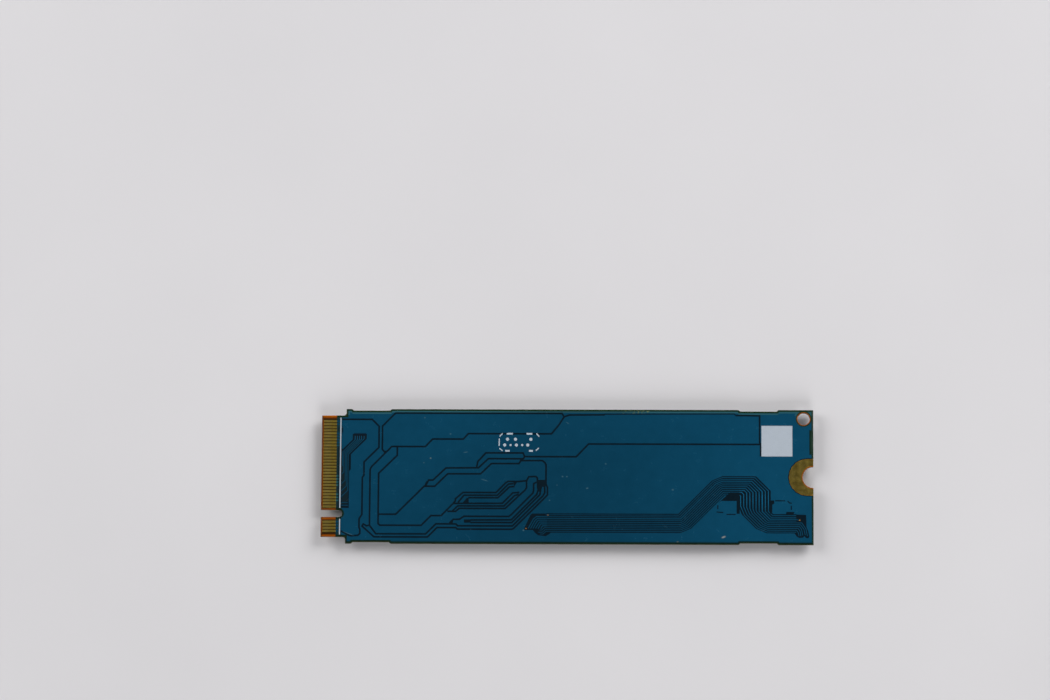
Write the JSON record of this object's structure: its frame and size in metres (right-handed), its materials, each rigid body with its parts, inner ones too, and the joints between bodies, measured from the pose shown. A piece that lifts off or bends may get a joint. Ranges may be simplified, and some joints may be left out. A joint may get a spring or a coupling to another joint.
{
  "type": "nvme solid-state drive",
  "caption": "Slim plug-in card drive lying bare side up: blue masked board, gold edge contacts with a key notch, half-round screw notch, chips and small parts underneath.",
  "frame": {"origin": "under the middle of the card, on the plane that the chips rest on", "axes": "+X from the contact edge to the screw end, +Y across the card, +Z out of the bare side"},
  "size_m": [0.08, 0.022, 0.002],
  "materials": {
    "laminate": "woven glass laminate, satin",
    "copper": "etched copper under the mask",
    "solder_mask": "semi-gloss dark blue film",
    "gold": "satin gold plating",
    "print": "matt white ink",
    "moulding": "matt black moulding compound",
    "solder": "tin, satin",
    "capacitor_ceramic": "tan ceramic",
    "resistor_film": "black glaze",
    "ferrite": "grey pressed iron powder",
    "crystal_lid": "plated lid",
    "fuse_glass": "pale ceramic"
  },
  "bodies": {
    "root": {"board": "laminate", "bare_side_copper": "copper", "bare_side_solder_mask": "solder_mask", "bare_side_ground_pad": "gold", "bare_side_contacts": "gold", "bare_side_print": "print", "component_side_copper": "copper", "component_side_solder_mask": "solder_mask", "component_side_ground_pad": "gold", "component_side_contacts": "gold", "component_side_print": "print", "controller": "moulding", "memory": "moulding", "flash_1": "moulding", "flash_2": "moulding", "controller_balls": "solder", "memory_balls": "solder", "flash_1_balls": "solder", "flash_2_balls": "solder", "power_management_chip": "moulding", "load_switch": "moulding", "temperature_sensor": "moulding", "boot_flash_chip": "moulding", "crystal": "crystal_lid", "inductor_1": "ferrite", "inductor_2": "ferrite", "inductor_3": "ferrite", "large_capacitor_bodies": "capacitor_ceramic", "large_capacitor_end_caps": "solder", "small_capacitor_bodies": "capacitor_ceramic", "small_capacitor_end_caps": "solder", "resistor_bodies": "resistor_film", "resistor_end_caps": "solder", "fuse_bodies": "fuse_glass", "fuse_end_caps": "solder"}
  },
  "joints": []
}
